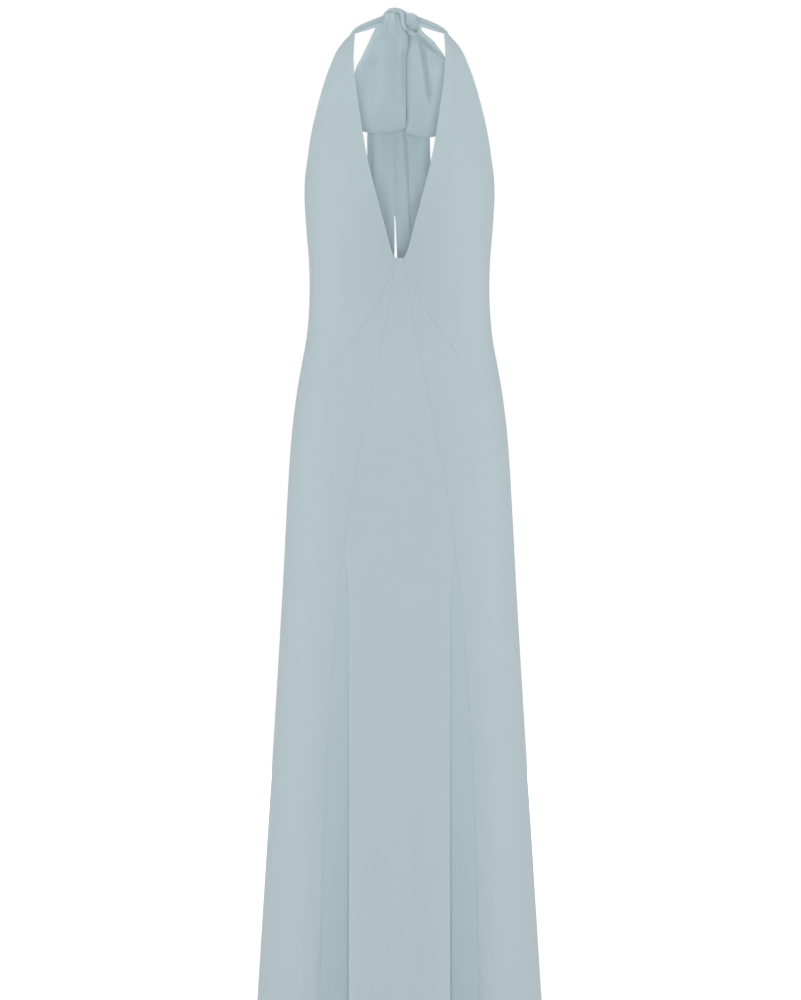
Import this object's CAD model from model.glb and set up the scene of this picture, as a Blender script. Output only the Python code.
# A halter-neck maxi dress in pale blue crepe, filled out as it hangs on a figure, with nobody in it.
# Shapes are worked out in millimetres about the plane of the side seams. Meshes are made in metres, with the
# origin at the nape: +X is the wearer's left, -Y the front and +Z up.
import math

import bpy
import numpy as np
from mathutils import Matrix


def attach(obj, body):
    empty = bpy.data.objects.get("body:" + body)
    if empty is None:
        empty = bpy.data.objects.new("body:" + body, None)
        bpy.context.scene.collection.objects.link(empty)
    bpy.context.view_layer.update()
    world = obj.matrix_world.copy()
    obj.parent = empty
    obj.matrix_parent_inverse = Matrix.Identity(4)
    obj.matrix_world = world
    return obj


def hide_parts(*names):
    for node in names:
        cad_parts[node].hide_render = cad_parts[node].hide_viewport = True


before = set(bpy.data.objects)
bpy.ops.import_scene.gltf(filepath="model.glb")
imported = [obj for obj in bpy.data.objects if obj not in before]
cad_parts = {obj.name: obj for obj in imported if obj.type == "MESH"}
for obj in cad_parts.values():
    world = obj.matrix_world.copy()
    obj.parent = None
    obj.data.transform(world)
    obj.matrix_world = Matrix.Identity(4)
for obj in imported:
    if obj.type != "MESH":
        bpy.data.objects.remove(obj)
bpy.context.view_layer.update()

MM = 0.001
NAPE_BEHIND = 62.0  # from the plane of the side seams back to the origin

# The cut of the dress
NECK_Z = -33.0
NECK_TWIST = 8.5  # how far a halter front turns its outer edge back at the neck
NECK_TWIST_DROP = 62.0  # height over which that dies out
UNDERARM_Z = -250.0
NECKLINE_ABREAST_Z = -226.0  # the neckline's height in the row that reaches the underarm
V_FOOT_Z = -364.5
HIP_SEAM_Z = -571.0  # at the side seam
BACK_EDGE_Z = -395.0  # at the centre back
SCOOP = 3.2  # how flat the low back edge runs before it climbs to the underarm
HEM_Z = -1490.0
SQUARENESS = 2.4  # 2 would make each section an ellipse
BODICE_CORNER = 0.62  # how far down its rows a front reaches the underarm
ARMHOLE_FOOT = 30.0  # height over which the armhole curves out to the side seam

# Sections of the figure: half width, and depth in front of and behind the side seams
FIGURE = {
    "z": (
        -33, -60, -106, -163, -205, -262, -310, -363, -417,
        -470, -515, -566, -617, -700, -850, -1100, -1490,
    ),
    "half": (
        85, 113, 127, 131.5, 133.6, 136.8, 134.5, 130.3, 129.6,
        133.5, 141.5, 150, 156, 161.5, 169.5, 184.5, 209,
    ),
    "front": (12, 40, 66, 90, 105, 117, 114, 101, 93, 93, 97, 102, 106, 110, 119, 133, 155),
    "back": (60, 74, 85, 90, 91, 90, 87, 82, 79, 85, 95, 106, 113, 117, 121, 131, 152),
}
# The two edges of a halter front, as distances from the centre line
HALTER = {
    "z": (-33, -45, -60, -76, -106, -150, -183, -220, -250, -333, -352, -364.5),
    "neckline": (64, 64.7, 65.3, 65.6, 63.6, 57, 52.4, 46, 39.2, 17, 12, 6),
    "armhole": (71.5, 81, 90, 96.5, 107, 119, 126.5, 132.3, 136, 137, 137, 137),
}
# The hip seam of each side, as shares of the way round from the foot of the V to the side seam
HIP_SEAM = {
    "share": (0, 0.045, 0.1, 0.17, 0.25, 0.35, 0.46, 0.58, 0.72, 0.86, 1),
    "z": (-364.5, -398, -428, -452, -474.5, -502, -525.5, -545.5, -559.5, -567.5, -571),
}
# The long seam between the centre wedge and a side panel
FRONT_SEAM = {
    "z": (-364.5, -418, -486, -551, -653, -721, -851, -989, -1130, -1490),
    "x": (6, 14.5, 25.5, 39, 59.5, 71.5, 87, 98, 105, 114),
}
# The two deep front folds, at the hem. The centre rises to a crest at the edge, turns back under itself to
# the fold's floor, and runs on to the seam, beyond which the side panel comes forward again.
FOLD_TOP = -735.0
FOLD_GROWTH = 1.1  # 1 would let a fold grow evenly as it falls
FOLD_EDGE = 70.0  # from the centre line, all the way down
FOLD_CREST = 12.0
FOLD_CREST_FROM = 6.0  # from the centre line, where the cloth begins to rise to the crest
FOLD_CREST_AT = 50.0  # from the centre line, where the crest is highest
FOLD_ROUNDING = 4.0  # how far the crest has rounded off by the edge
FOLD_FLOOR = 50.0  # depth just behind the edge
FOLD_BOW = 1.3  # 1 would bring the cloth forward evenly from there to the seam
FOLD_SEAM_DEPTH = 16.0  # depth at the seam
FOLD_SEAM_GAP = 2.0  # least room between the turn and the seam, where the wedge is narrow
FOLD_TUCK = 6.0  # how far the floor reaches in behind the edge
FOLD_TUCK_GROWN = 0.3  # how much of its growth a fold needs to turn fully under itself
FOLD_WALL = 9.0  # how much of the panel's own width the turn takes
FOLD_RETURN = 32.0  # width of the side panel's way forward
# The wedge's columns crowd round each fold's edge. Widths are shares of the way from the centre to a seam.
EDGE_MOST = 0.80  # the edge's place where the wedge is too narrow for it
WALL_MOST = 0.97  # the same for the end of the turn
CROWD_AHEAD = 0.06  # width before the edge where the crowding begins
CENTRE_COLUMNS = (0.5, 0.78)  # shares of the columns up to there, and up to the end of the turn
# Valleys of the back skirt: place at the hem, half width, depth and top
BACK_FOLDS = {"x": (-86, 80), "half_width": (44, 40), "depth": (34, 30), "top": (-760, -820)}
BACK_FOLD_START = 0.72  # where a valley starts, as a share of its distance from the centre at the hem

# How the cloth is made up
CLOTH = 1.0  # drawn thickness of the shell
RIM = 0.25  # share of that thickness at the very edge
SEAM_ROLL = 0.34  # how deep two panels turn in where they are sewn
SEAM_REACH = 2.4  # how far from a seam that turn begins
FACING = 7.0  # width of the turned edge round the neck, arms and back
FACING_SWELL = 0.3  # how far that edge stands proud
FACING_STEP = 2.0  # width of the slope at its end
HEM_DEPTH = 22.0  # from the skirt's lower edge up to its blind stitching
STITCH_DIP = 0.25  # how far that stitching draws the cloth in
STITCH_WIDTH = 1.6
PUCKER = 0.1  # height of the small puckers along a seam
PUCKER_REACH = 8.0  # how far from the seam they die out
PUCKER_SHORT = 4.1  # length of a radian of the short wave
PUCKER_LONG = 6.7
PUCKER_LONG_SHARE = 0.6  # height of the long wave beside the short one
PUCKER_LONG_PHASE = 2.3
EDGE_PHASES = (0.7, 1.9, 3.1, 4.6)  # of the puckers along the top, the bottom and the two sides of a panel
PRESSED_FLAT = 0.97  # how much flatter the long front seams lie inside the folds
PRESSED_FROM = 400.0  # where along such a seam that begins
PRESSED_WITHIN = 180.0  # length over which it grows to that
EDGE_STOPS = np.array([0, 0.16, 0.5, 1.1, 1.9, 3.2, 5.2, 7.6])  # grid lines by an edge, in mm from it
NARROW = 3  # a piece under this many times their reach draws those lines together
PROBE_ROWS = 60  # of the coarse grid that a panel is first measured on
PROBE_COLUMNS = 30
SEAM, PRESSED, TURNED, HEM = "seam", "pressed", "turned", "hem"

# The crepe's two tones, and how fine each layer of its surface is
CREPE_LIGHT = (0.462, 0.559, 0.592)
CREPE_DARK = (0.440, 0.536, 0.569)
TONE_SCALE = 320.0  # cloudy unevenness about 3 mm across
PEBBLE_SCALE = 1500.0  # the crepe's pebbles, about 0.7 mm
YARN_SCALE = 900.0

# The left strap, in even steps from its front to the knot: its centre line, its width, and by how many degrees
# that width leans down from level. The right one is its mirror image.
STRAP = {
    "x": (68.2, 68.2, 67, 65, 61.9, 56.5, 47.5, 36, 25, 15),
    "y": (-12.6, -10.6, -5, 6, 18, 30, 43, 54, 62, 69),
    "z": (-34.4, -31.2, -29, -26, -22.5, -17.9, -12.4, -6.2, -1.4, 1),
    "width": (17.5, 17, 16, 14.6, 13.8, 13.4, 13.4, 13.5, 13.5, 12),
    "lean": (0, 3, 9, 15, 24, 36, 48, 58, 68, 78),
}
STRAP_ACROSS = (0.32, 0.947)  # the way across a strap that doesn't lean, seen from above
STRAP_LAP = 0.004  # how far down the front's rows a strap begins
STRAP_GROWN = 0.3  # how far along it has its own form
STRAP_ARCH = 1.6  # how far its middle stands out
STRAP_ARCHED = 0.5  # how far along it is fully arched
STRAP_PLEAT = 0.9  # height of its pleats
STRAP_PLEATS = 1.7  # how many lie side by side
STRAP_PLEAT_PHASE = 0.6
STRAP_RIPPLE = 0.35  # height of a finer ripple beside the pleats
STRAP_RIPPLES = (9, 4)  # its radians over a strap and along it
STRAP_PLEATS_END = 0.1  # share of its length over which the pleats close at the knot

# Loops and tails, in even steps along the cloth: height, depth and two edges, and how far the middle sags
# between them. A loop's table runs down its front layer and up its back layer.
LOOP_RIGHT = {
    "z": (14.5, 9, 0, -8, -20, -28, -40, -52, -75, -115, -147, -157.5, -147, -115, -75, -35, -6),
    "y": (68, 62.5, 60.5, 61, 63, 65, 67, 68.5, 71, 72.5, 76, 80.5, 85, 86, 85, 83, 80.5),
    "low_x": (
        -17, -22.5, -29, -34, -39.8, -43.7, -49.5, -55.4, -66, -71, -70.5, -70, -70, -67, -58, -37, -20,
    ),
    "high_x": (-3, 1, 3.5, 6, 11.5, 13.4, 12, 10.4, 10.2, 10, 9.4, 9.2, 9, 7, 6.5, 5.5, 2),
    "sag": (0, 0, 0, 0, 0, 0, 0, 0, 1, 3, 6, 7, 6, 3, 1, 0, 0),
}
LOOP_LEFT = {
    "z": (-12, -22, -30, -41, -52, -62, -80, -115, -151, -163.5, -151, -115, -75, -40, -14),
    "y": (75, 71, 69.5, 68.5, 68.5, 69, 70.5, 72.5, 76, 80.5, 85, 86, 85, 83, 81),
    "low_x": (16, 15, 13.8, 12.4, 10.8, 10.7, 10.6, 10.4, 9.8, 9.6, 9.8, 10.5, 12, 11, 10.5),
    "high_x": (31, 40, 49.5, 57.5, 66.5, 71, 71.5, 71, 69.5, 68.5, 68.5, 68.5, 62, 45, 27.5),
    "sag": (0, 0, 0, 0, 0, 1, 3, 5, 7, 7, 7, 5, 2, 0, 0),
}
TAIL_RIGHT = {
    "z": (0, -20, -60, -110, -150, -200, -250, -285, -340, -420, -490, -545),
    "y": (83, 88, 88.5, 89, 89.5, 92, 95, 96.5, 98, 100, 107, 115.5),
    "low_x": (-13, -17.5, -30, -43, -47.5, -48, -49, -51, -55, -61.5, -67, -72),
    "high_x": (-1, -0.5, -3, -7, -9, -8.8, -8.2, -7.6, -7.4, -9.5, -9, -10),
    "sag": (0,) * 12,
}
TAIL_LEFT = {
    "z": (-4, -24, -60, -110, -150, -200, -250, -281, -290, -350, -420, -495, -575),
    "y": (85, 90.5, 91.5, 92, 92.5, 95, 98, 99.5, 99.5, 101, 103, 109, 118.5),
    "low_x": (6.5, 4, -1.5, -9, -11, -11, -10.5, -8.4, -6.2, -3.4, -0.5, 3, 6.5),
    "high_x": (19.5, 22, 30.5, 39.5, 44, 46, 47.5, 48.5, 49.5, 54, 58.5, 65, 71.5),
    "sag": (0,) * 13,
}
# Creases placed by hand: a path in the plane seen from the front, its half width, and its depth away from the
# camera. A ridge has a negative depth.
LOOP_RIGHT_CREASES = (
    (((7.5, -28), (6.5, -90), (6, -150)), 3.2, 3.4),
    (((0, -30), (-0.5, -90), (-0.5, -152)), 3.0, -1.2),
    (((-9, -10), (-10, -80), (-10, -150)), 4.5, 2.0),
    (((-38, -50), (-44, -100), (-42, -152)), 9.0, 3.2),
    (((-20, -20), (-24, -90), (-26, -150)), 8.0, -2.0),
    (((-14, 15), (-16, 3), (-20, -22)), 2.0, 1.7),
    (((-5, 15), (-4, 2), (-1, -24)), 2.0, 1.7),
    (((-21, 9), (-26, -2), (-34, -26)), 2.4, 1.2),
)
LOOP_LEFT_CREASES = (
    (((22, -12), (40, -27), (51, -37.5), (68, -54)), 5.4, -8.0),
    (((24, -24), (42, -38), (53, -46), (70, -62)), 2.6, 4.6),
    (((29, -24), (35, -45), (39.7, -79.7), (45, -128)), 3.2, 5.6),
    (((21, -40), (24, -90), (24, -140)), 6.0, -1.8),
    (((52, -66), (55, -100), (54, -150)), 6.0, -1.2),
)
TAIL_RIGHT_CREASES = (
    (((-40, -130), (-40, -190), (-38, -260)), 2.0, 2.2),
    (((-29, -130), (-28, -220), (-30, -330)), 4.0, -1.4),
    (((-18, -130), (-18, -220), (-20, -340)), 4.0, 1.4),
    (((-40, -300), (-44, -420), (-50, -530)), 6.0, 2.0),
)
TAIL_LEFT_CREASES = (
    (((6.7, -140), (10.7, -207), (13, -257), (18, -330)), 2.0, 2.8),
    (((1, -140), (2, -207), (4, -300)), 3.5, -1.2),
    (((27, -130), (29, -220), (32, -340)), 5.0, -1.8),
    (((38, -130), (40, -220), (42, -340)), 4.0, 1.4),
    (((30, -340), (34, -450), (40, -560)), 6.0, 2.0),
)
CREASE_FADE = 0.2  # share of a crease's length over which it fades at each end
LOOP_FRONT_END = 0.62  # how far along a loop its creased front layer ends
LOOP_FRONT_FADE = 0.08
CURL_REACH = 8.5  # width over which a loop's edges round off towards the back
CURL_DEPTH = 5.0
RIBBON_WIDTH = 45.0  # a middling width, by which every ribbon's columns are spaced

# The knot's rolls of wrapped cloth: a path of centres, each with its radius
KNOT_ROLLS = (
    # the core, behind the loops
    ((-19, 76, 3, 6), (-8, 76, 4, 10.5), (6, 77, 1, 10), (20, 78, -4, 10), (26, 77, -8, 6)),
    # the band that arches over the top
    ((-25, 75, 6, 2.2), (-17, 74, 14, 2.8), (-7.7, 73, 17, 3), (1, 73, 15.5, 3), (9, 72, 11, 3)),
    # the bright roll at the front
    (
        (-7, 66, 13, 2.6), (-1, 62, 13, 3.3), (3.4, 59.5, 8.5, 3.4),
        (4.4, 58.5, 1.5, 3.2), (4.8, 59, -6, 2.8), (9, 62, -14, 2.2),
    ),
    # a thin twist beside it
    ((-16, 67, 15, 2.4), (-11, 64.5, 15, 2.8), (-6, 64.5, 11.5, 2.2)),
    # the pad, a wide wrap with a flat face that slants down to the strap
    ((12.5, 66, 6.5, 5), (20, 64.8, 4, 5.8), (27.5, 68, -1, 4.8)),
    ((12, 66, 2, 5.4), (20, 65.2, -0.5, 6), (28, 68.5, -4.5, 5)),
    ((12.5, 67, -3, 5.4), (20, 66.2, -5, 6), (28, 69.5, -8, 4.8)),
    ((14.5, 68.5, -8, 4.6), (20, 68, -9, 5), (26, 70.5, -10, 4)),
    # strands below the pad, on their way into the left loop
    ((29, 72, -5, 2.6), (30, 67, -10, 2.8), (29, 65.5, -17, 3), (27, 69, -22, 2.6)),
    ((12, 74, -12, 4), (18, 74, -18, 5), (26, 74, -20, 4)),
    # the wrap at the back
    ((-20, 82, 9, 3), (-8, 87, 9, 5), (6, 88, 3, 6), (18, 87.5, -5, 6), (26, 83, -11, 3.5)),
    ((-12, 84, -4, 4), (2, 86, -7, 5), (14, 85, -13, 4)),
)
ROLL_SIDES = 28
ROLL_RINGS = 12  # for each centre of a path
ROLL_CAP_RINGS = 6
ROLL_ASIDE = (0.11, 0.93, 0.35)  # a direction that no roll runs along
KNOT_VOXEL = 0.7
KNOT_SMOOTHING = 10  # rounds

# Soft boxes: name, place, what each looks at, width, height and power, in metres and watts
LIGHTS = (
    ("front_box", (0, -4.2, -0.8), (0, 0, -0.6), 0.6, 0.6, 96.0),
    ("back_box", (0, 4.2, -0.8), (0, 0, -0.6), 0.9, 0.9, 105.0),
    ("left_box", (2.6, 0.3, -1.3), (0, 0, -1.1), 0.9, 1.5, 35.0),
    ("left_upper_box", (1.2, -0.5, 1.7), (0, -0.06, -0.15), 0.7, 0.7, 13.0),
    ("right_box", (-2.6, 0.3, -1.3), (0, 0, -1.1), 0.9, 1.5, 35.0),
    ("right_upper_box", (-1.2, -0.5, 1.7), (0, -0.06, -0.15), 0.7, 0.7, 13.0),
)
ABOVE = 0.26  # strength of the white surround as light
BELOW = 0.46
HORIZON = 0.4  # half the height of the blend between the two, on a ball of radius 1
FLOOR_Z = -1.5
FLOOR_SIZE = 9.0
FLOOR_GLOW = 0.93  # keeps the floor as pale as the surround
SENSOR = 36.0  # width in mm
CAMERA_DISTANCE = 4.0  # from the plane of the side seams
FRAME_HALF_HEIGHT = 0.725  # of the photo's frame at that plane
CAMERA_Z = -0.707
CAMERA_ASIDE = 0.00145  # the dress hangs a pixel off the photo's middle


def along(table, key, column):
    """A smooth curve through one column of a table, straight beyond its ends."""
    at = np.array(table[key], float)
    value = np.array(table[column], float)
    if at[0] > at[-1]:
        at, value = at[::-1], value[::-1]
    slope = np.empty_like(value)
    slope[1:-1] = (value[2:] - value[:-2]) / (at[2:] - at[:-2])
    slope[0] = (value[1] - value[0]) / (at[1] - at[0])
    slope[-1] = (value[-1] - value[-2]) / (at[-1] - at[-2])

    def curve(place):
        place = np.asarray(place, float)
        i = np.clip(np.searchsorted(at, place) - 1, 0, len(at) - 2)
        span = at[i + 1] - at[i]
        s = np.clip((place - at[i]) / span, 0, 1)
        rest = 1 - s
        inside = (
            value[i] * (1 + 2 * s) * rest**2
            + slope[i] * span * s * rest**2
            + value[i + 1] * s**2 * (3 - 2 * s)
            - slope[i + 1] * span * s**2 * rest
        )
        beyond = slope[0] * np.minimum(place - at[0], 0) + slope[-1] * np.maximum(place - at[-1], 0)
        return inside + beyond

    return curve


def along_rows(table, column):
    """A smooth curve through one column of a table whose rows are evenly spaced from 0 to 1."""
    return along({**table, "at": np.linspace(0, 1, len(table[column]))}, "at", column)


half_at = along(FIGURE, "z", "half")
front_at = along(FIGURE, "z", "front")
back_at = along(FIGURE, "z", "back")
neckline_at = along(HALTER, "z", "neckline")
armhole_at = along(HALTER, "z", "armhole")
front_seam_at = along(FRONT_SEAM, "z", "x")
hip_seam_z = along(HIP_SEAM, "share", "z")


def mix(a, b, share):
    return a + (b - a) * share


def ease(value):
    t = np.clip(value, 0, 1)
    return t * t * (3 - 2 * t)


def growth(top, z):
    """How far a fold that starts at a height has grown by another, 1 at the hem."""
    return np.clip((top - z) / (top - HEM_Z), 0, 1) ** FOLD_GROWTH


def front_lift(x, z):
    """Outward lift of the front skirt: a crest, a steep drop behind its edge, and a slow way forward."""
    across = np.abs(x)
    seam = np.maximum(front_seam_at(z), FOLD_EDGE + FOLD_WALL + FOLD_SEAM_GAP)
    crest = FOLD_CREST * ease((across - FOLD_CREST_FROM) / (FOLD_CREST_AT - FOLD_CREST_FROM))
    crest -= FOLD_ROUNDING * np.clip((across - FOLD_CREST_AT) / (FOLD_EDGE - FOLD_CREST_AT), 0, 1) ** 2
    wall = (FOLD_CREST - FOLD_ROUNDING + FOLD_FLOOR) * ease((across - FOLD_EDGE) / FOLD_WALL)
    to_seam = np.clip((across - FOLD_EDGE) / (seam - FOLD_EDGE), 0, 1)
    inside = (FOLD_FLOOR - FOLD_SEAM_DEPTH) * to_seam**FOLD_BOW
    back = FOLD_SEAM_DEPTH * (1 - (1 - np.clip((across - seam) / FOLD_RETURN, 0, 1)) ** 2)
    return growth(FOLD_TOP, z) * (crest - wall + inside + back)


def back_lift(x, z):
    """Outward lift of the back skirt, whose folds splay as they fall."""
    lift = np.zeros_like(x)
    for place, half_width, depth, top in zip(*(BACK_FOLDS[k] for k in ("x", "half_width", "depth", "top"))):
        size = growth(top, z)
        off = np.clip((x - place * mix(BACK_FOLD_START, 1, size)) / half_width, -1, 1)
        lift -= depth * size * np.cos(off * math.pi / 2) ** 2
    return lift


def body_point(z, turn, side):
    """Points of the cloth. Turn is 0 at the centre front and a quarter turn at the side seam."""
    z, turn = np.broadcast_arrays(z, turn)
    ahead = np.cos(turn)
    x = side * half_at(z) * np.maximum(np.sin(turn), 0) ** (2 / SQUARENESS)
    reach = np.abs(ahead) ** (2 / SQUARENESS)
    front = -front_at(z) * reach - front_lift(x, z)
    back = back_at(z) * reach + back_lift(x, z)
    return np.stack([x, np.where(ahead > 0, front, back), z], axis=-1)


def turn_at(x, z):
    return np.arcsin(np.clip(x / half_at(z), 0, 1) ** (SQUARENESS / 2))


def bodice_point(row, share, side):
    """A halter front. Its rows tilt from level at the underarm to the slant of the hip seam."""
    upper = np.minimum(row / BODICE_CORNER, 1)
    lower = np.maximum((row - BODICE_CORNER) / (1 - BODICE_CORNER), 0)
    neckline_z = mix(mix(NECK_Z, NECKLINE_ABREAST_Z, upper), V_FOOT_Z, lower)
    side_z = mix(mix(NECK_Z, UNDERARM_Z, upper), HIP_SEAM_Z, lower)
    slant = (hip_seam_z(share) - V_FOOT_Z) / (HIP_SEAM_Z - V_FOOT_Z)
    z = mix(neckline_z, side_z, mix(share, slant, lower))
    start = turn_at(neckline_at(neckline_z), neckline_z)
    foot = np.clip((UNDERARM_Z + ARMHOLE_FOOT - side_z) / ARMHOLE_FOOT, 0, 1) ** 2
    end = mix(turn_at(armhole_at(side_z), side_z), math.pi / 2, foot)
    point = body_point(z, mix(start, end, share), side)
    point[..., 1] += NECK_TWIST * (1 - ease((NECK_Z - z) / NECK_TWIST_DROP)) * (2 * share - 1)
    return point


def side_front_point(row, share, side):
    """A side front panel, from the hip seam between the long front seam and the side seam."""
    z = mix(hip_seam_z(share), HEM_Z, row)
    seam_z = mix(V_FOOT_Z, HEM_Z, row)
    start = turn_at(front_seam_at(seam_z), seam_z)
    return body_point(z, mix(start, math.pi / 2, share), side)


def centre_front_point(row, share, side):
    """The centre wedge, from one long front seam to the other. It spans both sides, so side goes unused."""
    z = mix(V_FOOT_Z, HEM_Z, row)
    seam = front_seam_at(z)
    edge = np.minimum(FOLD_EDGE / seam, EDGE_MOST)
    wall = np.minimum(edge + FOLD_WALL / seam, WALL_MOST)
    crowd = edge - CROWD_AHEAD
    part = np.abs(2 * share - 1)
    first, second = CENTRE_COLUMNS
    inner = part / first * crowd
    turning = mix(crowd, wall, (part - first) / (second - first))
    outer = mix(wall, 1, (part - second) / (1 - second))
    across = seam * np.where(part < first, inner, np.where(part < second, turning, outer))
    hand = np.sign(2 * share - 1)
    points = body_point(z, turn_at(across, z), hand)
    tucked = (FOLD_WALL + FOLD_TUCK) * ease((across - FOLD_EDGE) / FOLD_WALL)
    tucked = tucked * np.clip((seam - across) / np.maximum(seam - FOLD_EDGE - FOLD_WALL, 1), 0, 1)
    points[..., 0] -= hand * tucked * ease(growth(FOLD_TOP, z) / FOLD_TUCK_GROWN)
    return points


def back_point(row, share, side):
    """A back panel, from the scooped edge between the side seam and the centre back seam."""
    turn = mix(math.pi / 2, math.pi, share)
    scoop = np.maximum(np.sin(turn), 0) ** (2 / SQUARENESS)
    edge = mix(BACK_EDGE_Z, UNDERARM_Z, scoop**SCOOP)
    return body_point(mix(edge, HEM_Z, row), turn, side)


def stops(length, count):
    """Shares of a length in mm: close together by both ends, where cloth is turned, and even between."""
    near = EDGE_STOPS * np.minimum(1, length / (NARROW * EDGE_STOPS[-1])) / length
    start, end = near[..., -1:], 1 - near[..., -1:]
    even = mix(start, end, np.linspace(0, 1, count + 2)[1:-1])
    return np.concatenate([near, even, 1 - near[..., ::-1]], axis=-1)


def grid_of(rows, columns):
    """Rows and shares of a ribbon, with its columns close together by both edges."""
    share = stops(np.array([RIBBON_WIDTH]), columns)
    return np.broadcast_arrays(np.linspace(0, 1, rows)[:, None], share[None, :])


def steps_along(points, axis):
    """Distances in mm from the first grid line and from the last, measured along the cloth."""
    step = np.linalg.norm(np.diff(points, axis=axis), axis=-1)
    start = np.zeros_like(np.take(step, [0], axis=axis))
    run = np.concatenate([start, np.cumsum(step, axis=axis)], axis=axis)
    return run, np.take(run, [-1], axis=axis) - run


def normals(points):
    """Unit vectors across the cloth, by the right-hand rule from the columns' direction to the rows'."""
    over = np.gradient(points, axis=1)
    down = np.gradient(points, axis=0)
    cross = np.cross(down, over)
    return cross / np.maximum(np.linalg.norm(cross, axis=-1, keepdims=True), 1e-9)


def make_mesh(name, points, faces):
    """A smooth mesh object from points in mm."""
    verts = points.reshape(-1, 3).copy()
    verts[:, 1] -= NAPE_BEHIND
    mesh = bpy.data.meshes.new(name)
    mesh.from_pydata((verts * MM).tolist(), [], faces.tolist())
    mesh.polygons.foreach_set("use_smooth", [True] * len(mesh.polygons))
    mesh.validate()
    piece = bpy.data.objects.new(name, mesh)
    bpy.context.scene.collection.objects.link(piece)
    return piece


def shell(name, outer, inner):
    """A closed shell between two grids of points of the same size."""
    rows, columns = outer.shape[:2]
    index = np.arange(rows * columns).reshape(rows, columns)
    far = index + rows * columns

    def quads(a):
        return np.stack([a[:-1, :-1], a[1:, :-1], a[1:, 1:], a[:-1, 1:]], axis=-1).reshape(-1, 4)

    ring = np.concatenate([index[0, :-1], index[:-1, -1], index[-1, :0:-1], index[:0:-1, 0]])
    after = np.roll(ring, -1)
    rim = np.stack([ring, after, after + rows * columns, ring + rows * columns], axis=-1)
    faces = np.concatenate([quads(index), quads(far)[:, ::-1], rim])
    return make_mesh(name, np.concatenate([outer.reshape(-1, 3), inner.reshape(-1, 3)]), faces)


def rounded(points, out, edges):
    """The two faces of the cloth about a middle surface, rounded off within half a thickness of each edge."""
    half = CLOTH / 2
    thick = np.full(points.shape[:2], half)
    for distance in edges:
        near = np.clip(distance / half, 0, 1)
        thick = np.minimum(thick, half * (RIM + (1 - RIM) * np.sqrt(1 - (1 - near) ** 2)))
    return points + out * thick[..., None], points - out * thick[..., None]


def finished_edge(kind, distance, run, phase):
    """Outward lift of the cloth near one of its edges, by how that edge is made up."""
    if kind == TURNED:
        return FACING_SWELL * (1 - ease((distance - FACING + FACING_STEP / 2) / FACING_STEP))
    if kind == HEM:
        return -STITCH_DIP * np.exp(-(((distance - HEM_DEPTH) / STITCH_WIDTH) ** 2))
    long_wave = np.sin(run / PUCKER_LONG + PUCKER_LONG_PHASE * phase)
    wave = np.sin(run / PUCKER_SHORT + phase) + PUCKER_LONG_SHARE * long_wave
    puckers = PUCKER * wave * np.exp(-((distance / PUCKER_REACH) ** 2))
    lift = -SEAM_ROLL * (1 - ease(distance / SEAM_REACH)) + puckers
    if kind == PRESSED:
        lift = lift * (1 - PRESSED_FLAT * ease((run - PRESSED_FROM) / PRESSED_WITHIN))
    return lift


def crepe():
    """Matt crepe: a fine pebbled weave, a soft nap and barely uneven colour."""
    material = bpy.data.materials.new("crepe")
    material.use_nodes = True
    nodes, links = material.node_tree.nodes, material.node_tree.links
    skin = nodes["Principled BSDF"]
    skin.inputs["Roughness"].default_value = 0.86
    skin.inputs["Specular IOR Level"].default_value = 0.25
    skin.inputs["Sheen Weight"].default_value = 0.12
    skin.inputs["Sheen Roughness"].default_value = 0.5
    skin.inputs["Subsurface Weight"].default_value = 0.2
    skin.inputs["Subsurface Radius"].default_value = (1.0, 1.0, 1.0)
    skin.inputs["Subsurface Scale"].default_value = 0.0015
    where = nodes.new("ShaderNodeTexCoord")

    def noise(scale, detail):
        made = nodes.new("ShaderNodeTexNoise")
        made.inputs["Scale"].default_value = scale
        made.inputs["Detail"].default_value = detail
        links.new(where.outputs["Object"], made.inputs["Vector"])
        return made

    tone = nodes.new("ShaderNodeMix")
    tone.data_type = "RGBA"
    tone.inputs["A"].default_value = (*CREPE_DARK, 1)
    tone.inputs["B"].default_value = (*CREPE_LIGHT, 1)
    links.new(noise(TONE_SCALE, detail=3).outputs["Fac"], tone.inputs["Factor"])
    links.new(tone.outputs["Result"], skin.inputs["Base Color"])

    pebbles = nodes.new("ShaderNodeTexVoronoi")
    pebbles.inputs["Scale"].default_value = PEBBLE_SCALE
    links.new(where.outputs["Object"], pebbles.inputs["Vector"])
    grain = nodes.new("ShaderNodeMath")
    grain.operation = "ADD"
    links.new(pebbles.outputs["Distance"], grain.inputs[0])
    links.new(noise(YARN_SCALE, detail=4).outputs["Fac"], grain.inputs[1])
    bump = nodes.new("ShaderNodeBump")
    bump.inputs["Strength"].default_value = 0.35
    bump.inputs["Distance"].default_value = 0.00012
    links.new(grain.outputs[0], bump.inputs["Height"])
    links.new(bump.outputs["Normal"], skin.inputs["Normal"])
    return material


CLOTH_MATERIAL = crepe()


def dress(piece, node):
    """Gives a piece its cloth and its place in the part."""
    piece.data.materials.append(CLOTH_MATERIAL)
    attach(piece, "root")
    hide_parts(node)


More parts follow.
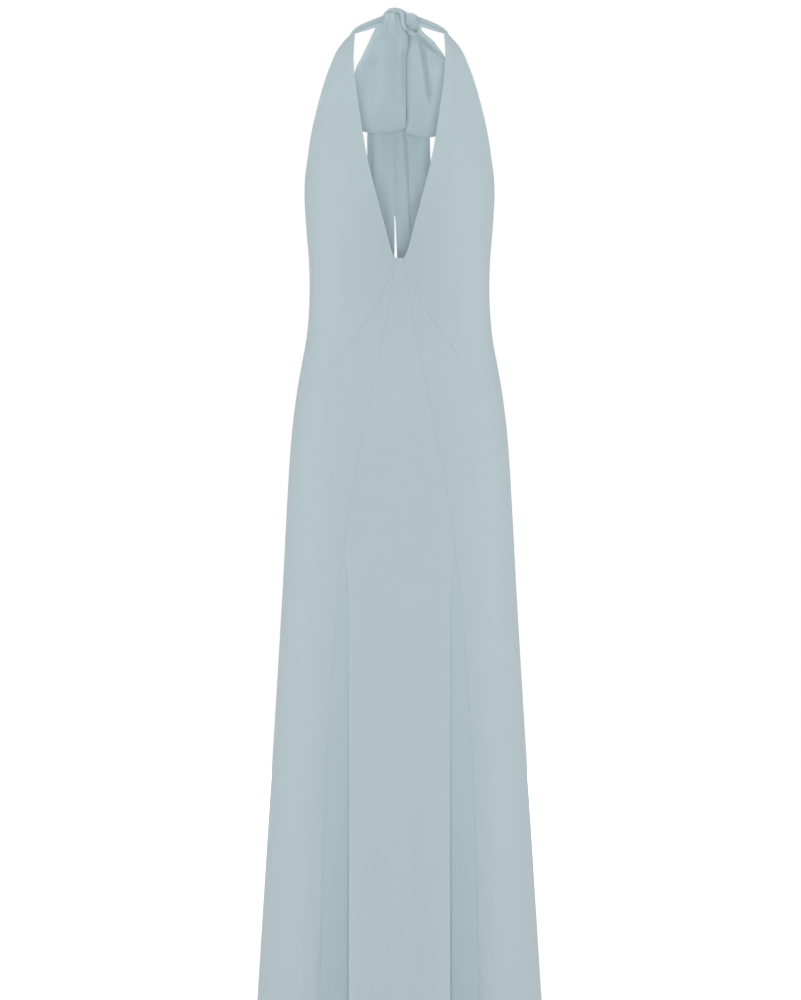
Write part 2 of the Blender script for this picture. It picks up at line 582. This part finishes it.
def panel(name, point, side, rows, columns, edges, corner=None):
    """One cut piece of the dress. Edges are how its top, bottom, first and last side are made up. A corner is
    the share of its rows that one row keeps exactly to."""
    probe_rows = np.linspace(0, 1, PROBE_ROWS)[:, None]
    probe = point(probe_rows, np.linspace(0, 1, PROBE_COLUMNS)[None, :], side)
    length = np.linalg.norm(np.diff(probe, axis=0), axis=-1).sum(axis=0).max()
    row = stops(length, rows)[:, None]
    if corner:
        row[np.abs(row - corner).argmin()] = corner
    widths = np.linalg.norm(np.diff(probe, axis=1), axis=-1).sum(axis=1)
    width = np.interp(row[:, 0], probe_rows[:, 0], widths)[:, None]
    share = stops(width, columns)
    points = point(row, share, side)
    out = normals(points) * side
    run_down, run_up = steps_along(points, 0)
    run_over, run_back = steps_along(points, 1)
    distances = (run_down, run_up, run_over, run_back)
    runs = (run_over, run_over, run_down, run_down)
    lift = np.zeros(points.shape[:2])
    for kind, distance, run, phase in zip(edges, distances, runs, EDGE_PHASES):
        lift += finished_edge(kind, distance, run, phase)
    points = points + out * lift[..., None]
    outer, inner = rounded(points, normals(points) * side, distances)
    piece = shell(f"{name}_cloth", outer, inner)
    dress(piece, name)


def crease_depth(points, path, half_width):
    """How strongly a crease is felt at each point, from 0 to 1, fading out towards its ends."""
    path = np.array(path, float)
    steps = np.diff(path, axis=0)
    lengths = np.linalg.norm(steps, axis=1)
    starts = np.concatenate([[0], np.cumsum(lengths)])
    place = points[..., [0, 2]]
    nearest = np.full(place.shape[:2], np.inf)
    run = np.zeros(place.shape[:2])
    for origin, step, length, start in zip(path, steps, lengths, starts):
        t = np.clip(((place - origin) * step).sum(-1) / length**2, 0, 1)
        distance = np.linalg.norm(place - origin - t[..., None] * step, axis=-1)
        closer = distance < nearest
        nearest = np.where(closer, distance, nearest)
        run = np.where(closer, (start + t * length) / starts[-1], run)
    fade = ease(run / CREASE_FADE) * ease((1 - run) / CREASE_FADE)
    return fade * np.exp(-((nearest / half_width) ** 2))


def ribbon_points(table, creases, is_loop, row, share):
    """A ribbon's surface from its table of rows, with its creases. A loop's edges are rounded to the back,
    and only its front layer has creases."""
    z, y, low, high, sag = (along_rows(table, k)(row) for k in ("z", "y", "low_x", "high_x", "sag"))
    x = mix(low, high, share)
    near = np.minimum(share, 1 - share) * (high - low)
    points = np.stack([x, y + 0 * x, z - sag * np.sin(math.pi * share)], axis=-1)
    lift = np.zeros_like(x)
    for path, half_width, depth in creases:
        lift += depth * crease_depth(points, path, half_width)
    if is_loop:
        lift = lift + CURL_DEPTH * (1 - np.clip(near / CURL_REACH, 0, 1)) ** 2
        lift = ease((LOOP_FRONT_END - row) / LOOP_FRONT_FADE) * lift
    points[..., 1] += lift
    return points


def strap_points(row, share):
    """The strap's surface: it grows out of the top of its front and runs in narrow pleats along its table."""
    x, y, z, width, lean = (along_rows(STRAP, k) for k in ("x", "y", "z", "width", "lean"))

    def centre(place):
        return np.stack([x(place), y(place), z(place)], axis=-1)

    angle = np.radians(lean(row))
    level = np.cos(angle)
    across = np.stack([STRAP_ACROSS[0] * level, STRAP_ACROSS[1] * level, -np.sin(angle)], axis=-1)
    across = across / np.linalg.norm(across, axis=-1, keepdims=True)
    out = np.cross(across, centre(row + 1e-3) - centre(row - 1e-3))
    out = out / np.linalg.norm(out, axis=-1, keepdims=True)
    ripple = STRAP_RIPPLE * np.sin(STRAP_RIPPLES[0] * share + STRAP_RIPPLES[1] * row)
    pleats = STRAP_PLEAT * (np.sin(STRAP_PLEATS * 2 * math.pi * share + STRAP_PLEAT_PHASE) + ripple)
    pleats = pleats * ease(row / STRAP_GROWN) * ease((1 - row) / STRAP_PLEATS_END)
    arch = STRAP_ARCH * np.sin(math.pi * share) * ease(row / STRAP_ARCHED)
    own = centre(row) + across * ((share - 0.5) * width(row))[..., None] + out * (pleats + arch)[..., None]
    top = bodice_point(np.full_like(share, STRAP_LAP), share, 1)
    return mix(top, own, ease(row / STRAP_GROWN)[..., None])


def ribbon(name, points):
    """A stretch of the tie as a thin shell. Tied is the knot, if the stretch runs on into it."""
    outer, inner = rounded(points, normals(points), (*steps_along(points, 0), *steps_along(points, 1)))
    piece = shell(f"{name}_cloth", outer, inner)
    dress(piece, name)


def roll(path):
    """A tapering round roll along a path, closed by a half ball at both ends."""
    path = np.array(path, float)
    table = {key: path[:, i] for i, key in enumerate(("x", "y", "z", "r"))}
    place = np.linspace(0, 1, ROLL_RINGS * len(path))
    centre = np.stack([along_rows(table, k)(place) for k in ("x", "y", "z")], axis=-1)
    radius = along_rows(table, "r")(place)
    ahead = np.gradient(centre, axis=0)
    ahead /= np.linalg.norm(ahead, axis=1, keepdims=True)
    over = np.cross(ahead, ROLL_ASIDE)
    over /= np.linalg.norm(over, axis=1, keepdims=True)
    up = np.cross(ahead, over)

    def cap(end, way):
        turns = np.linspace(0, math.pi / 2, ROLL_CAP_RINGS + 1)[:-1]
        middle, size, aside = centre[end], radius[end], (over[end], up[end])
        reach = way * ahead[end] * size
        return [(middle + reach * math.cos(t), *aside, size * math.sin(t)) for t in turns]

    rings = cap(0, -1) + list(zip(centre, over, up, radius)) + cap(-1, 1)[::-1]
    angle = np.linspace(0, 2 * math.pi, ROLL_SIDES, endpoint=False)
    cosine, sine = np.cos(angle)[:, None], np.sin(angle)[:, None]
    grid = np.stack([c + r * (cosine * o + sine * u) for c, o, u, r in rings])
    index = np.arange(grid.shape[0] * ROLL_SIDES).reshape(-1, ROLL_SIDES)
    beside = np.roll(index, -1, axis=1)
    faces = np.stack([index[:-1], index[1:], beside[1:], beside[:-1]], axis=-1).reshape(-1, 4)
    return make_mesh("roll", grid, faces)


def make_knot():
    """The knot: rolls of wrapped cloth, melted into one skin."""
    rolls = [roll(path) for path in KNOT_ROLLS]
    knot = rolls[0]
    knot.name = "tie_knot_cloth"
    with bpy.context.temp_override(active_object=knot, selected_editable_objects=rolls):
        bpy.ops.object.join()
    melt = knot.modifiers.new("melt", "REMESH")
    melt.mode = "VOXEL"
    melt.voxel_size = KNOT_VOXEL * MM
    melt.use_smooth_shade = True
    soften = knot.modifiers.new("soften", "SMOOTH")
    soften.iterations = KNOT_SMOOTHING
    soften.factor = 0.5
    with bpy.context.temp_override(object=knot, active_object=knot):
        for modifier in [m.name for m in knot.modifiers]:
            bpy.ops.object.modifier_apply(modifier=modifier)
    dress(knot, "tie_knot")
    return knot


def light(name, place, aim, width, height, power):
    """A soft box that looks at a point."""
    lamp = bpy.data.lights.new(name, "AREA")
    lamp.shape = "RECTANGLE"
    lamp.size = width
    lamp.size_y = height
    lamp.energy = power
    holder = bpy.data.objects.new(name, lamp)
    holder.location = place
    direction = np.array(aim) - np.array(place)
    yaw = math.atan2(direction[1], direction[0]) - math.pi / 2
    pitch = math.atan2(direction[2], math.hypot(direction[0], direction[1]))
    holder.rotation_euler = (math.pi / 2 + pitch, 0, yaw)
    bpy.context.scene.collection.objects.link(holder)


def white_world():
    """White to look at, and a gentler light on the dress, a little stronger from below."""
    world = bpy.data.worlds.new("white studio")
    world.use_nodes = True
    nodes, links = world.node_tree.nodes, world.node_tree.links
    seen = nodes["Background"]
    seen.inputs["Color"].default_value = (1, 1, 1, 1)
    lit = nodes.new("ShaderNodeBackground")
    lit.inputs["Color"].default_value = (1, 1, 1, 1)
    where = nodes.new("ShaderNodeTexCoord")
    split = nodes.new("ShaderNodeSeparateXYZ")
    links.new(where.outputs["Generated"], split.inputs[0])
    shade = nodes.new("ShaderNodeMapRange")
    shade.inputs["From Min"].default_value = -HORIZON
    shade.inputs["From Max"].default_value = HORIZON
    shade.inputs["To Min"].default_value = BELOW
    shade.inputs["To Max"].default_value = ABOVE
    links.new(split.outputs["Z"], shade.inputs["Value"])
    links.new(shade.outputs["Result"], lit.inputs["Strength"])
    path = nodes.new("ShaderNodeLightPath")
    either = nodes.new("ShaderNodeMixShader")
    links.new(path.outputs["Is Camera Ray"], either.inputs["Fac"])
    links.new(lit.outputs[0], either.inputs[1])
    links.new(seen.outputs[0], either.inputs[2])
    links.new(either.outputs[0], nodes["World Output"].inputs["Surface"])
    bpy.context.scene.world = world


def white_floor():
    """A plain pale floor, which throws no light back at the dress."""
    bpy.ops.mesh.primitive_plane_add(size=FLOOR_SIZE, location=(0, 0, FLOOR_Z))
    floor = bpy.context.active_object
    floor.name = "floor"
    floor.visible_diffuse = False
    paper = bpy.data.materials.new("white paper")
    paper.use_nodes = True
    skin = paper.node_tree.nodes["Principled BSDF"]
    skin.inputs["Base Color"].default_value = (0.25, 0.25, 0.25, 1)
    skin.inputs["Roughness"].default_value = 1.0
    skin.inputs["Specular IOR Level"].default_value = 0.0
    skin.inputs["Emission Color"].default_value = (1, 1, 1, 1)
    skin.inputs["Emission Strength"].default_value = FLOOR_GLOW
    floor.data.materials.append(paper)


def aim_camera():
    """A level camera in front, at the photo's distance and field of view."""
    scene = bpy.context.scene
    lens = bpy.data.cameras.new("camera")
    lens.sensor_width = SENSOR
    lens.lens = SENSOR / 2 / (FRAME_HALF_HEIGHT / CAMERA_DISTANCE)
    camera = bpy.data.objects.new("camera", lens)
    camera.location = (CAMERA_ASIDE, -CAMERA_DISTANCE - NAPE_BEHIND * MM, CAMERA_Z)
    camera.rotation_euler = (math.pi / 2, 0, 0)
    scene.collection.objects.link(camera)
    scene.camera = camera


bpy.context.scene.view_settings.view_transform = "Standard"
white_world()
for row_of_light in LIGHTS:
    light(*row_of_light)
white_floor()
aim_camera()

knot = make_knot()
for wearer, hand in (("left", 1), ("right", -1)):
    panel(
        f"front_bodice_{wearer}",
        bodice_point,
        hand,
        rows=110,
        columns=60,
        edges=(SEAM, SEAM, TURNED, TURNED),
        corner=BODICE_CORNER,
    )
    panel(
        f"side_front_{wearer}",
        side_front_point,
        hand,
        rows=150,
        columns=60,
        edges=(SEAM, HEM, PRESSED, SEAM),
    )
    panel(
        f"back_{wearer}",
        back_point,
        hand,
        rows=160,
        columns=80,
        edges=(TURNED, HEM, SEAM, SEAM),
    )
    strap = strap_points(*grid_of(rows=90, columns=40))
    strap[..., 0] *= hand
    ribbon(f"neck_strap_{wearer}", strap)
panel(
    "centre_front",
    centre_front_point,
    1,
    rows=190,
    columns=190,
    edges=(TURNED, HEM, PRESSED, PRESSED),
)
for ribbon_name, table, creases, is_loop in (
    ("bow_loop_left", LOOP_LEFT, LOOP_LEFT_CREASES, True),
    ("bow_loop_right", LOOP_RIGHT, LOOP_RIGHT_CREASES, True),
    ("tie_tail_left", TAIL_LEFT, TAIL_LEFT_CREASES, False),
    ("tie_tail_right", TAIL_RIGHT, TAIL_RIGHT_CREASES, False),
):
    ribbon(ribbon_name, ribbon_points(table, creases, is_loop, *grid_of(rows=240, columns=90)))
